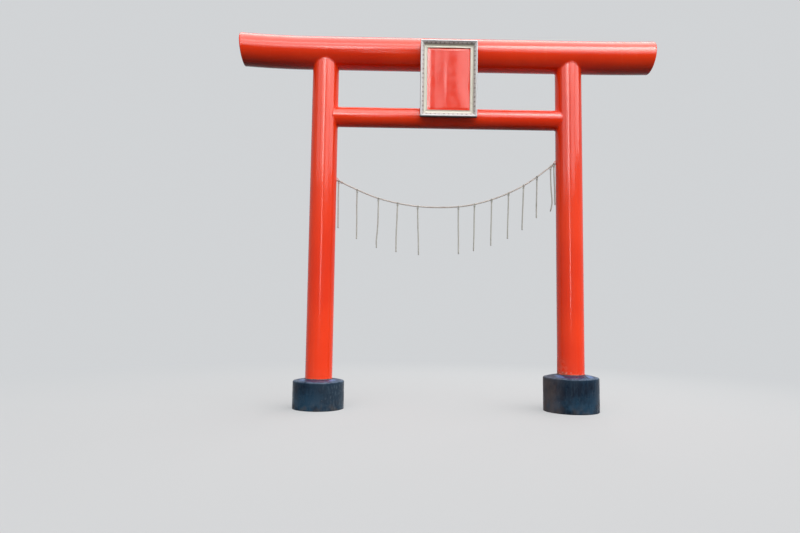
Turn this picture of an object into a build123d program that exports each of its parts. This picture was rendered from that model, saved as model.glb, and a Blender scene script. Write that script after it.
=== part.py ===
"""Torii gate of painted steel pipe on two round footings, with a framed plaque and a hanging rope.

Millimetres. +Z is up, +X runs along the gate, and the front of the gate faces -Y.
The origin lies midway between the pillars, on the level that the footings stand on.
"""

import os
from math import atan2, cos, degrees, radians, sin, tan

from build123d import *

# Pillars
PILLAR_OD = 216.3
PILLAR_WALL = 5.8
PILLAR_SPAN = 2025.0

# Lintel, the pipe on top: straight over the pillars, both ends curving up a little and capped
LINTEL_OD = 267.4
LINTEL_WALL = 6.6
LINTEL_AXIS_Z = 2920.0
LINTEL_OVERHANG = 700.0
LEFT_END_RISE = 20.0
RIGHT_END_RISE = 8.0
LINTEL_END_SLANT = 7.0
CAP_DEPTH = 16.0
CAP_EDGE_RADIUS = 12.0
CAP_WALL = 5.0

# Tie beam, the pipe between the pillars
TIE_OD = 165.2
TIE_WALL = 5.0
TIE_AXIS_Z = 2377.0

# Footings, cast round the pillars' feet, with a top that falls away to a rounded rim
LEFT_FOOTING_OD = 410.0
LEFT_FOOTING_RIM_Z = 221.0
LEFT_FOOTING_CROWN = 12.0
RIGHT_FOOTING_OD = 440.0
RIGHT_FOOTING_RIM_Z = 271.0
RIGHT_FOOTING_CROWN = 18.0
CROWN_BELLY = 0.6
FOOTING_RIM_RADIUS = 12.0
SOCKET_FLOOR_Z = 60.0

# Plaque: a moulded frame mitred at its corners, round a sheet-metal panel with a board behind it
PLAQUE_WIDTH = 462.0
PLAQUE_HEIGHT = 624.0
PLAQUE_BOTTOM_Z = 2353.0
PLAQUE_LEAN = 3.0
PLAQUE_STANDOFF = 4.0
FRAME_WIDTH = 57.0
FRAME_DEPTH = 42.0
LIP_WIDTH = 12.0
COVE_WIDTH = 18.0
COVE_FOOT = 21.0
COVE_SAG = 3.0
BEAD_RISE = 6.0
BEAD_FALL = 2.0
REBATE_WIDTH = 12.0
BOARD_THICKNESS = 7.0
PANEL_THICKNESS = 2.0

# Brackets that carry the plaque: a pad on the board, and a web cut to the pipe behind it
PAD_WIDTH = 50.0
PAD_HEIGHT = 50.0
PAD_THICKNESS = 6.0
PAD_CORNER = 6.0
WEB_THICKNESS = 6.0
BRACKET_SPACING = 250.0
UPPER_BRACKET_DROP = 72.0
LOWER_BRACKET_LIFT = 36.0

# Rope, the staples that it is tied to, and the strands that hang from it
ROPE_D = 12.0
STRAND_D = 10.0
BEND_SHARE = 0.45
STAPLE_RADIUS = 13.0
STAPLE_WIRE_D = 5.0
LEFT_STAPLE_Z = 1849.0
RIGHT_STAPLE_Z = 2022.0

# Clearances
WELD_GAP = 0.3
SOCKET_GAP = 0.3
REBATE_GAP = 0.5

# Places worked out from the sizes above
pillar_r = PILLAR_OD / 2
lintel_r = LINTEL_OD / 2
tie_r = TIE_OD / 2
pillar_x = PILLAR_SPAN / 2
bend_start_x = pillar_x + pillar_r
lintel_end_x = pillar_x + LINTEL_OVERHANG - CAP_DEPTH
bend_run = lintel_end_x - bend_start_x
LEFT = -1
RIGHT = 1
end_rise = {LEFT: LEFT_END_RISE, RIGHT: RIGHT_END_RISE}

os.makedirs("parts", exist_ok=True)


def keep(piece, label):
    """Label a finished piece and write it under that name."""
    piece.label = label
    export_step(piece, f"parts/{label}.step")


# Footings
def footing(side, outer_d, rim_z, crown):
    """Turned casting with a socket for the pillar's foot."""
    x = side * pillar_x
    socket_r = pillar_r + SOCKET_GAP
    outer_r = outer_d / 2
    crown_z = rim_z + crown
    middle_r = (outer_r + socket_r) / 2
    middle_z = rim_z + CROWN_BELLY * crown
    with BuildPart() as casting:
        with BuildSketch(Plane((x, 0, 0), x_dir=(1, 0, 0), z_dir=(0, -1, 0))):
            with BuildLine():
                Polyline((socket_r, crown_z), (socket_r, SOCKET_FLOOR_Z), (0, SOCKET_FLOOR_Z), (0, 0))
                Polyline((0, 0), (outer_r, 0), (outer_r, rim_z))
                ThreePointArc((outer_r, rim_z), (middle_r, middle_z), (socket_r, crown_z))
            make_face()
        revolve(axis=Axis((x, 0, 0), (0, 0, 1)))
        rim = casting.edges().filter_by(lambda e: abs(e.center().Z - rim_z) < 1).sort_by(SortBy.RADIUS)[-1]
        fillet(rim, FOOTING_RIM_RADIUS)
    return casting.part


keep(footing(LEFT, LEFT_FOOTING_OD, LEFT_FOOTING_RIM_Z, LEFT_FOOTING_CROWN), "left_footing")
keep(footing(RIGHT, RIGHT_FOOTING_OD, RIGHT_FOOTING_RIM_Z, RIGHT_FOOTING_CROWN), "right_footing")


# Pillars
def pillar(side):
    """Pipe standing in its footing, with its top cut to the lintel's round underside."""
    x = side * pillar_x
    with BuildPart() as pipe:
        with BuildSketch(Plane((x, 0, SOCKET_FLOOR_Z))):
            Circle(pillar_r)
            Circle(pillar_r - PILLAR_WALL, mode=Mode.SUBTRACT)
        extrude(amount=LINTEL_AXIS_Z - SOCKET_FLOOR_Z)
        with BuildSketch(Plane((x, 0, LINTEL_AXIS_Z), x_dir=(0, 1, 0), z_dir=(1, 0, 0))):
            Circle(lintel_r + WELD_GAP)
        extrude(amount=PILLAR_OD, both=True, mode=Mode.SUBTRACT)
    return pipe.part


keep(pillar(LEFT), "left_pillar")
keep(pillar(RIGHT), "right_pillar")

# Tie beam: its ends cut to the pillars
with BuildPart() as tie_beam:
    with BuildSketch(Plane((0, 0, TIE_AXIS_Z), x_dir=(0, 1, 0), z_dir=(1, 0, 0))):
        Circle(tie_r)
        Circle(tie_r - TIE_WALL, mode=Mode.SUBTRACT)
    extrude(amount=pillar_x, both=True)
    with BuildSketch(Plane.XY.offset(TIE_AXIS_Z)):
        with Locations((-pillar_x, 0), (pillar_x, 0)):
            Circle(pillar_r + WELD_GAP)
    extrude(amount=TIE_OD, both=True, mode=Mode.SUBTRACT)
keep(tie_beam.part, "tie_beam")


# Lintel: a pipe swept along its bent axis, with its ends sawn off slanting outward at the top
def end_bend(side):
    """Radius of the arc that lifts the lintel's axis at this end, and its angle in degrees."""
    rise = end_rise[side]
    radius = (bend_run**2 + rise**2) / (2 * rise)
    return radius, degrees(atan2(bend_run, radius - rise))


def lintel_end_plane(side):
    """Plane of the slanted end, facing outward."""
    slant = radians(LINTEL_END_SLANT)
    centre = (side * lintel_end_x, 0, LINTEL_AXIS_Z + end_rise[side])
    return Plane(centre, x_dir=(0, 1, 0), z_dir=(side * cos(slant), 0, -sin(slant)))


with BuildLine(Plane.XZ) as lintel_axis:
    straight = Line((-bend_start_x, LINTEL_AXIS_Z), (bend_start_x, LINTEL_AXIS_Z))
    left_radius, left_angle = end_bend(LEFT)
    right_radius, right_angle = end_bend(RIGHT)
    left_bend = JernArc(straight @ 0, (-1, 0), left_radius, -left_angle - degrees(lintel_r / left_radius))
    right_bend = JernArc(straight @ 1, (1, 0), right_radius, right_angle + degrees(lintel_r / right_radius))

with BuildPart() as top_lintel:
    with BuildSketch(Plane(left_bend @ 1, x_dir=(0, 1, 0), z_dir=left_bend % 1)):
        Circle(lintel_r)
        Circle(lintel_r - LINTEL_WALL, mode=Mode.SUBTRACT)
    sweep(path=lintel_axis.wires()[0])
    for end in (LEFT, RIGHT):
        split(bisect_by=lintel_end_plane(end), keep=Keep.BOTTOM)
keep(top_lintel.part, "top_lintel")


def lintel_cap(side):
    """Pressed cap closing the lintel's end: the pipe's slanted section, with a rounded outer edge."""
    end_plane = lintel_end_plane(side)
    outward_axis = Axis(end_plane.origin, end_plane.z_dir)
    bend_angle = end_bend(side)[1]
    section_angle = radians(bend_angle + LINTEL_END_SLANT)
    with BuildPart() as cap:
        with BuildSketch(end_plane):
            Ellipse(lintel_r, lintel_r / cos(section_angle))
        extrude(amount=CAP_DEPTH)
        fillet(cap.faces().sort_by(outward_axis)[-1].edges(), CAP_EDGE_RADIUS)
        offset(amount=-CAP_WALL, openings=cap.faces().sort_by(outward_axis)[0])
    return cap.part


keep(lintel_cap(LEFT), "left_lintel_cap")
keep(lintel_cap(RIGHT), "right_lintel_cap")

# Plaque, drawn in its own leaning plane: local X across, local Y up and local Z out of its face
lean = radians(PLAQUE_LEAN)
plaque_back_y = -(lintel_r + PLAQUE_STANDOFF) + (LINTEL_AXIS_Z - PLAQUE_BOTTOM_Z) * tan(lean)
plaque_plane = Plane((0, plaque_back_y, PLAQUE_BOTTOM_Z), x_dir=(1, 0, 0), z_dir=(0, -cos(lean), -sin(lean)))
across = plaque_plane.x_dir
upward = plaque_plane.y_dir
outward = plaque_plane.z_dir
rebate_depth = BOARD_THICKNESS + PANEL_THICKNESS


def on_plaque(x, y):
    """Point at the plaque's back, from its bottom middle."""
    return plaque_plane.from_local_coords(Vector(x, y, 0))


def frame_member(middle, inward, length):
    """Moulding with its outer edge centred on middle, mitred at both ends."""
    section_plane = Plane(middle, x_dir=inward, z_dir=inward.cross(outward))
    along = section_plane.z_dir
    lip_r = LIP_WIDTH / 2
    lip_foot = FRAME_DEPTH - lip_r
    cove_end = LIP_WIDTH + COVE_WIDTH
    bead_end = COVE_FOOT - BEAD_FALL
    inner_edge = FRAME_WIDTH - REBATE_WIDTH
    with BuildPart() as member:
        with BuildSketch(section_plane):
            with BuildLine():
                Line((0, 0), (0, lip_foot))
                ThreePointArc((0, lip_foot), (lip_r, FRAME_DEPTH), (LIP_WIDTH, lip_foot))
                SagittaArc((LIP_WIDTH, lip_foot), (cove_end, COVE_FOOT), COVE_SAG)
                SagittaArc((cove_end, COVE_FOOT), (FRAME_WIDTH, bead_end), -BEAD_RISE)
                Line((FRAME_WIDTH, bead_end), (FRAME_WIDTH, rebate_depth))
                Line((FRAME_WIDTH, rebate_depth), (inner_edge, rebate_depth))
                Line((inner_edge, rebate_depth), (inner_edge, 0))
                Line((inner_edge, 0), (0, 0))
            make_face()
        extrude(amount=length / 2, both=True)
        for end in (-1, 1):
            corner = middle + along * (end * length / 2)
            split(bisect_by=Plane(corner, z_dir=inward + along * end), keep=Keep.BOTTOM)
    return member.part


half_width = PLAQUE_WIDTH / 2
half_height = PLAQUE_HEIGHT / 2
keep(frame_member(on_plaque(0, 0), upward, PLAQUE_WIDTH), "plaque_bottom_rail")
keep(frame_member(on_plaque(0, PLAQUE_HEIGHT), -upward, PLAQUE_WIDTH), "plaque_top_rail")
keep(frame_member(on_plaque(-half_width, half_height), across, PLAQUE_HEIGHT), "plaque_left_stile")
keep(frame_member(on_plaque(half_width, half_height), -across, PLAQUE_HEIGHT), "plaque_right_stile")


def rebate_sheet(level, thickness):
    """Flat sheet filling the frame's rebate, from a level above the plaque's back."""
    margin = FRAME_WIDTH - REBATE_WIDTH + REBATE_GAP
    with BuildPart() as sheet:
        with BuildSketch(plaque_plane.offset(level)):
            with Locations((0, half_height)):
                Rectangle(PLAQUE_WIDTH - 2 * margin, PLAQUE_HEIGHT - 2 * margin)
        extrude(amount=thickness)
    return sheet.part


keep(rebate_sheet(0, BOARD_THICKNESS), "plaque_back_board")
keep(rebate_sheet(BOARD_THICKNESS, PANEL_THICKNESS), "plaque_panel")


def plaque_bracket(side, z, pipe_r, pipe_z):
    """Pad bolted to the board at height z, with a web that runs back to the pipe and is cut to it."""
    x = side * BRACKET_SPACING / 2
    y_up = (z - PLAQUE_BOTTOM_Z) / cos(lean)
    pad_plane = Plane(on_plaque(x, y_up), x_dir=across, z_dir=-outward)
    with BuildPart() as bracket:
        with BuildSketch(pad_plane):
            RectangleRounded(PAD_WIDTH, PAD_HEIGHT, PAD_CORNER)
        extrude(amount=PAD_THICKNESS)
        with BuildSketch(pad_plane):
            Rectangle(WEB_THICKNESS, PAD_HEIGHT)
        extrude(amount=-plaque_back_y)
        with BuildSketch(Plane((x, 0, pipe_z), x_dir=(0, 1, 0), z_dir=(1, 0, 0))):
            Circle(pipe_r + WELD_GAP)
        extrude(amount=PAD_WIDTH, both=True, mode=Mode.SUBTRACT)
    return bracket.part


upper_z = LINTEL_AXIS_Z - UPPER_BRACKET_DROP
lower_z = TIE_AXIS_Z + LOWER_BRACKET_LIFT
keep(plaque_bracket(LEFT, upper_z, lintel_r, LINTEL_AXIS_Z), "upper_left_plaque_bracket")
keep(plaque_bracket(RIGHT, upper_z, lintel_r, LINTEL_AXIS_Z), "upper_right_plaque_bracket")
keep(plaque_bracket(LEFT, lower_z, tie_r, TIE_AXIS_Z), "lower_left_plaque_bracket")
keep(plaque_bracket(RIGHT, lower_z, tie_r, TIE_AXIS_Z), "lower_right_plaque_bracket")


# Staples: half rings of round bar on the pillars' inner faces
def rope_staple(side, z):
    """Half ring standing out from the pillar's inner face, for the rope's end."""
    x = side * (pillar_x - pillar_r - WELD_GAP)
    with BuildPart() as staple:
        with BuildSketch(Plane((x, 0, z + STAPLE_RADIUS), x_dir=(0, 1, 0), z_dir=(1, 0, 0))):
            Circle(STAPLE_WIRE_D / 2)
        revolve(axis=Axis((x, 0, z), (0, -side, 0)), revolution_arc=180)
    return staple.part


keep(rope_staple(LEFT, LEFT_STAPLE_Z), "left_rope_staple")
keep(rope_staple(RIGHT, RIGHT_STAPLE_Z), "right_rope_staple")

# Rope and strands, as points (X, Z) of their routes in the gate's middle plane
ROPE_ROUTE = [
    (-890, 1841.8),
    (-832, 1812),
    (-738, 1770),
    (-606, 1713),
    (-472, 1676),
    (-330, 1647.5),
    (-196, 1633.5),
    (-58, 1631),
    (88, 1637),
    (228, 1659),
    (364, 1699),
    (492, 1749),
    (616, 1811),
    (731, 1886),
    (831, 1963.5),
    (891.7, 2012.1),
]


def corner_radii(route):
    """An arc at each corner that takes up most of half the shorter run beside it."""
    points = [Vector(x, z) for x, z in route]
    radii = []
    for before, corner, after in zip(points, points[1:], points[2:]):
        shorter = min((corner - before).length, (after - corner).length)
        turn = radians((corner - before).get_angle(after - corner))
        radii.append(BEND_SHARE * shorter / tan(turn / 2))
    return radii


def cord(route, diameter):
    """Round cord along a route of straight runs joined by arcs."""
    with BuildPart() as tube:
        with BuildLine(Plane.XZ) as spine:
            FilletPolyline(*route, radius=corner_radii(route))
        with BuildSketch(Plane(spine.line @ 0, z_dir=spine.line % 0)):
            Circle(diameter / 2)
        sweep(path=spine.wires()[0])
    return tube.part


print("rope radii", [round(r) for r in corner_radii(ROPE_ROUTE)])
keep(cord(ROPE_ROUTE, ROPE_D), "rope")

STRAND_ROUTES = [
    [(-886.5, 1830.4), (-888, 1712), (-885.5, 1574), (-884.5, 1448.5)],
    [(-733.8, 1759.2), (-735.5, 1634), (-731, 1489), (-731.7, 1360.5)],
    [(-558.3, 1691.9), (-557, 1560), (-562, 1426), (-571.5, 1345), (-568, 1290.5)],
    [(-401, 1654.2), (-403, 1530), (-409.5, 1398), (-408, 1258.5)],
    [(-235, 1630.8), (-233.5, 1508), (-226, 1372), (-224.5, 1236.5)],
    [(99.5, 1632.8), (98, 1510), (102, 1374), (101.3, 1249.5)],
    [(231.7, 1653.8), (229, 1531), (228.5, 1398), (224.5, 1276)],
    [(372.4, 1694.5), (371.5, 1573), (366.5, 1440), (366, 1321)],
    [(511.8, 1749.9), (510.5, 1630), (504, 1500), (502.5, 1381.5)],
    [(636, 1813.8), (633, 1697), (626, 1570), (622.5, 1455.5)],
    [(747, 1887), (746.5, 1782), (741, 1662), (741.5, 1556.5)],
    [(860.4, 1975), (861, 1861), (867, 1757), (875, 1676), (856.5, 1614)],
    [(888.1, 1997.2), (889, 1890), (894, 1774), (894.5, 1667)],
]

for number, route in enumerate(STRAND_ROUTES, start=1):
    print("strand", number, "radii", [round(r) for r in corner_radii(route)])
    keep(cord(route, STRAND_D), f"strand_{number:02d}")
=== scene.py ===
"""Torii gate of painted pipe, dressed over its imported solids. Metres, +Z up, the front facing -Y."""

import math

import bpy
from mathutils import Matrix, Vector, noise


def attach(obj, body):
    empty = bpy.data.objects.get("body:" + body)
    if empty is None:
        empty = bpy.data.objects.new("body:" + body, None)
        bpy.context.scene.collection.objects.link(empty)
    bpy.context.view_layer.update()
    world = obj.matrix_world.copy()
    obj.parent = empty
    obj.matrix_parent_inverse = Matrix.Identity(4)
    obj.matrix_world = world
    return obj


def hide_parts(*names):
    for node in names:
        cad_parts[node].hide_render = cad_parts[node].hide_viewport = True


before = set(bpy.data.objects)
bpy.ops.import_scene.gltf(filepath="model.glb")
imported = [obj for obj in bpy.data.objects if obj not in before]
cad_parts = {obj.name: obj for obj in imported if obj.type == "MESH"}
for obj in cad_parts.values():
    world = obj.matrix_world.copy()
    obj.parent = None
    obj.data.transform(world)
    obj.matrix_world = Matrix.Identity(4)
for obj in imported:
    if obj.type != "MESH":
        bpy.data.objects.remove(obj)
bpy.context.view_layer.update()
MM = 0.001

# Sizes that the dressing shares with the solids
PILLAR_X = 1012.5 * MM
PILLAR_R = 108.15 * MM
LINTEL_R = 133.7 * MM
LINTEL_Z = 2920 * MM
TIE_R = 82.6 * MM
TIE_Z = 2377 * MM
LEFT_FOOTING_R = 205 * MM
LEFT_CROWN_Z = 233 * MM
LEFT_CROWN_FALL = 12 * MM
RIGHT_FOOTING_R = 220 * MM
RIGHT_CROWN_Z = 289 * MM
RIGHT_CROWN_FALL = 18 * MM
LEFT_RIM_Z = LEFT_CROWN_Z - LEFT_CROWN_FALL
RIGHT_RIM_Z = RIGHT_CROWN_Z - RIGHT_CROWN_FALL
LEFT_STAPLE_Z = 1849 * MM
RIGHT_STAPLE_Z = 2022 * MM
STAPLE_REACH = 13 * MM
PLAQUE_W = 462 * MM
PLAQUE_H = 624 * MM
PLAQUE_BOTTOM = 2353 * MM
PLAQUE_LEAN = math.radians(3)
PLAQUE_STANDOFF = 4 * MM
FRAME_W = 57 * MM
FRAME_DEPTH = 42 * MM
LIP_W = 12 * MM
COVE_END = 30 * MM
COVE_FOOT = 21 * MM
COVE_SAG = 3 * MM
LEAF_PITCH = 37 * MM
ROPE_D = 12 * MM
FRONT = Vector((0, -1, 0))

# Routes of the rope and its strands, as points (X, Z) in millimetres in the gate's middle plane
ROPE_ROUTE = [
    (-890, 1841.8),
    (-832, 1812),
    (-738, 1770),
    (-606, 1713),
    (-472, 1676),
    (-330, 1647.5),
    (-196, 1633.5),
    (-58, 1631),
    (88, 1637),
    (228, 1659),
    (364, 1699),
    (492, 1749),
    (616, 1811),
    (731, 1886),
    (831, 1963.5),
    (891.7, 2012.1),
]
STRAND_ROUTES = [
    [(-886.5, 1830.4), (-888, 1712), (-885.5, 1574), (-884.5, 1448.5)],
    [(-733.8, 1759.2), (-735.5, 1634), (-731, 1489), (-731.7, 1360.5)],
    [(-558.3, 1691.9), (-557, 1560), (-562, 1426), (-571.5, 1345), (-568, 1290.5)],
    [(-401, 1654.2), (-403, 1530), (-409.5, 1398), (-408, 1258.5)],
    [(-235, 1630.8), (-233.5, 1508), (-226, 1372), (-224.5, 1236.5)],
    [(99.5, 1632.8), (98, 1510), (102, 1374), (101.3, 1249.5)],
    [(231.7, 1653.8), (229, 1531), (228.5, 1398), (224.5, 1276)],
    [(372.4, 1694.5), (371.5, 1573), (366.5, 1440), (366, 1321)],
    [(511.8, 1749.9), (510.5, 1630), (504, 1500), (502.5, 1381.5)],
    [(636, 1813.8), (633, 1697), (626, 1570), (622.5, 1455.5)],
    [(747, 1887), (746.5, 1782), (741, 1662), (741.5, 1556.5)],
    [(860.4, 1975), (861, 1861), (867, 1757), (875, 1676), (856.5, 1614)],
    [(888.1, 1997.2), (889, 1890), (894, 1774), (894.5, 1667)],
]

# Camera: fitted to the photograph's pipes
IMAGE_W = 800
FOCAL_PX = 613
SENSOR_MM = 36
CAMERA_PLACE = Vector((-0.4364, -4.9687, 0.722))
YAW = 0.0126
PITCH = 0.084
ROLL = 0.0135


def make_camera():
    """A camera where the photograph was taken from, turned and rolled as that one was."""
    forward = Vector((math.sin(YAW) * math.cos(PITCH), math.cos(YAW) * math.cos(PITCH), math.sin(PITCH)))
    level = Vector((math.cos(YAW), -math.sin(YAW), 0))
    up = level.cross(forward)
    right = math.cos(ROLL) * level + math.sin(ROLL) * up
    top = math.cos(ROLL) * up - math.sin(ROLL) * level
    data = bpy.data.cameras.new("camera")
    data.sensor_width = SENSOR_MM
    data.lens = FOCAL_PX * SENSOR_MM / IMAGE_W
    camera = bpy.data.objects.new("camera", data)
    turn = Matrix((right, top, -forward)).transposed().to_4x4()
    camera.matrix_world = Matrix.Translation(CAMERA_PLACE) @ turn
    bpy.context.collection.objects.link(camera)
    bpy.context.scene.camera = camera


make_camera()


# Node helpers
NOISE_ROUGHNESS = 0.55


class Nodes:
    """A node tree, with short calls for the nodes that the materials and the world share."""

    def __init__(self, tree):
        self.tree = tree

    def node(self, kind, **values):
        """A new node with its settings."""
        made = self.tree.nodes.new(kind)
        for key, value in values.items():
            setattr(made, key, value)
        return made

    def link(self, source, target):
        """Leads a socket to the target, or gives the target a plain value."""
        if isinstance(source, bpy.types.NodeSocket):
            self.tree.links.new(source, target)
        else:
            target.default_value = source

    def math(self, operation, *values):
        """One step of arithmetic on sockets or numbers."""
        made = self.node("ShaderNodeMath", operation=operation)
        for socket, value in zip(made.inputs, values):
            self.link(value, socket)
        return made.outputs[0]

    def product(self, *values):
        """All the values multiplied."""
        total = values[0]
        for value in values[1:]:
            total = self.math("MULTIPLY", total, value)
        return total

    def ramp(self, value, low, high, out_low=0.0, out_high=1.0):
        """A smooth step: out_low where value is low, out_high where it is high."""
        made = self.node("ShaderNodeMapRange", interpolation_type="SMOOTHSTEP")
        self.link(value, made.inputs["Value"])
        ends = {"From Min": low, "From Max": high, "To Min": out_low, "To Max": out_high}
        for socket, number in ends.items():
            self.link(number, made.inputs[socket])
        return made.outputs[0]

    def split(self, vector):
        """The three numbers of a vector."""
        made = self.node("ShaderNodeSeparateXYZ")
        self.link(vector, made.inputs[0])
        return made.outputs

    def mix(self, factor, a, b):
        """A colour between a and b: a where factor is 0, b where it is 1."""
        made = self.node("ShaderNodeMix", data_type="RGBA")
        self.link(factor, made.inputs["Factor"])
        for value, socket in ((a, made.inputs["A"]), (b, made.inputs["B"])):
            self.link(value if isinstance(value, bpy.types.NodeSocket) else (*value, 1), socket)
        return made.outputs["Result"]

    def seen_directly(self):
        """1 for camera, glossy and transmission rays, and 0 for the rays that light the object."""
        path = self.node("ShaderNodeLightPath").outputs
        mirrored = self.math("MAXIMUM", path["Is Glossy Ray"], path["Is Transmission Ray"])
        return self.math("MAXIMUM", path["Is Camera Ray"], mirrored)


class Paint(Nodes):
    """A new material's nodes."""

    def __init__(self, name):
        self.material = bpy.data.materials.new(name)
        self.material.use_nodes = True
        super().__init__(self.material.node_tree)
        self.shader = self.tree.nodes["Principled BSDF"]
        self.place = self.node("ShaderNodeTexCoord").outputs["Object"]

    def scaled(self, scale, turn=(0, 0, 0)):
        """The place, squeezed along each axis and turned, for grain that runs one way."""
        made = self.node("ShaderNodeMapping")
        made.inputs["Scale"].default_value = scale
        made.inputs["Rotation"].default_value = turn
        self.link(self.place, made.inputs["Vector"])
        return made.outputs[0]

    def noise(self, size, detail, place=None, distortion=0.0):
        """Noise with features about as large as size, in metres."""
        made = self.node("ShaderNodeTexNoise")
        made.inputs["Scale"].default_value = 1 / size
        made.inputs["Detail"].default_value = detail
        made.inputs["Roughness"].default_value = NOISE_ROUGHNESS
        made.inputs["Distortion"].default_value = distortion
        self.link(place or self.place, made.inputs["Vector"])
        return made.outputs["Fac"]

    def bump(self, height, distance, normal=None):
        """Relief that rises by distance, in metres, where height goes from 0 to 1."""
        made = self.node("ShaderNodeBump")
        made.inputs["Distance"].default_value = distance
        made.inputs["Strength"].default_value = 1
        self.link(height, made.inputs["Height"])
        if normal:
            self.link(normal, made.inputs["Normal"])
        return made.outputs[0]

    def finish(self, color, roughness, normal=None, **constants):
        """The material, with its shader fed; constants name the shader's sockets."""
        self.link(color, self.shader.inputs["Base Color"])
        self.link(roughness, self.shader.inputs["Roughness"])
        if normal:
            self.link(normal, self.shader.inputs["Normal"])
        for key, value in constants.items():
            self.shader.inputs[key.replace("_", " ")].default_value = value
        return self.material


# Materials: every size is in metres
def gate_half(p, x):
    """1 on the gate's right half and 0 on its left, and the distance right of that half's pillar axis."""
    on_right = p.ramp(x, -0.1, 0.1)
    pillar_x = p.math("MULTIPLY_ADD", on_right, 2 * PILLAR_X, -PILLAR_X)
    return on_right, p.math("SUBTRACT", x, pillar_x)


def height_over(p, z, on_right, left_level, right_level):
    """Height over a level that isn't the same on the gate's two halves."""
    level = p.math("MULTIPLY_ADD", on_right, right_level - left_level, left_level)
    return p.math("SUBTRACT", z, level)


def vermilion_paint():
    """Gloss enamel on pipe, streaked by rain, dusty on top, duller underneath and worn near the footings."""
    p = Paint("vermilion_paint")
    x, _, z = p.split(p.place)
    fresh = (0.94, 0.047, 0.005)
    deep = (0.84, 0.033, 0.003)
    chalky = (0.90, 0.095, 0.036)
    speck = (0.25, 0.02, 0.01)
    bleached = (0.62, 0.22, 0.16)
    earth = (0.13, 0.085, 0.035)
    scraped = (0.85, 0.40, 0.30)
    dust = (0.42, 0.20, 0.13)

    # Broad clouds, rain streaks and dark specks
    color = p.mix(p.ramp(p.noise(0.9, 3), 0.38, 0.66), fresh, deep)
    streaks = p.noise(0.03, 3, place=p.scaled((1, 1, 0.03)))
    color = p.mix(p.ramp(streaks, 0.55, 0.8, 0, 0.22), color, chalky)
    specks = p.ramp(p.noise(0.005, 2), 0.76, 0.79, 0, 0.45)
    color = p.mix(specks, color, speck)

    # Bleached patches, earth and scratches over the footings, mostly on the right pillar's inner side
    on_right, from_axis = gate_half(p, x)
    over_foot = height_over(p, z, on_right, LEFT_CROWN_Z, RIGHT_CROWN_Z)
    worn_side = p.math("MULTIPLY_ADD", p.ramp(from_axis, -0.03, -0.10), on_right, 0.14)
    faded = p.product(p.ramp(over_foot, 0.17, 0.03), p.ramp(p.noise(0.06, 3), 0.25, 0.65), worn_side)
    color = p.mix(p.product(faded, 0.34), color, bleached)
    stain = p.product(p.ramp(over_foot, 0.040, 0.0), p.ramp(p.noise(0.03, 4), 0.38, 0.62), worn_side)
    color = p.mix(p.product(stain, 0.75), color, earth)
    scratches = p.noise(0.005, 2, place=p.scaled((0.2, 0.2, 1), turn=(0, 0.12, 0)))
    low_band = p.product(p.ramp(over_foot, 0.035, 0.015), p.ramp(over_foot, 0.0, 0.010))
    scratched = p.product(low_band, p.ramp(scratches, 0.56, 0.62, 0, 0.5), on_right)
    color = p.mix(scratched, color, scraped)

    # Dust where the pipe faces up, and less shine where it faces down
    upward = p.split(p.node("ShaderNodeNewGeometry").outputs["Normal"])[2]
    settled = p.product(p.ramp(upward, 0.88, 0.98), p.ramp(p.noise(0.05, 4), 0.25, 0.6, 0.4, 1))
    color = p.mix(p.product(settled, 0.35), color, dust)
    p.link(p.ramp(upward, -0.15, 0.04, 0.12, 0.33), p.shader.inputs["Specular IOR Level"])

    # A glossy skin with a faint roll and an orange-peel surface
    even = p.ramp(p.noise(0.25, 4), 0.3, 0.7, 0.10, 0.17)
    dulled = p.math("MAXIMUM", settled, p.math("MAXIMUM", faded, stain))
    roughness = p.math("MULTIPLY_ADD", dulled, 0.5, even)
    roll = p.bump(p.noise(0.16, 2, place=p.scaled((1, 1, 0.35))), 0.0007)
    peel = p.bump(p.noise(0.0035, 2), 0.00010, normal=roll)
    return p.finish(color, roughness, peel)


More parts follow.
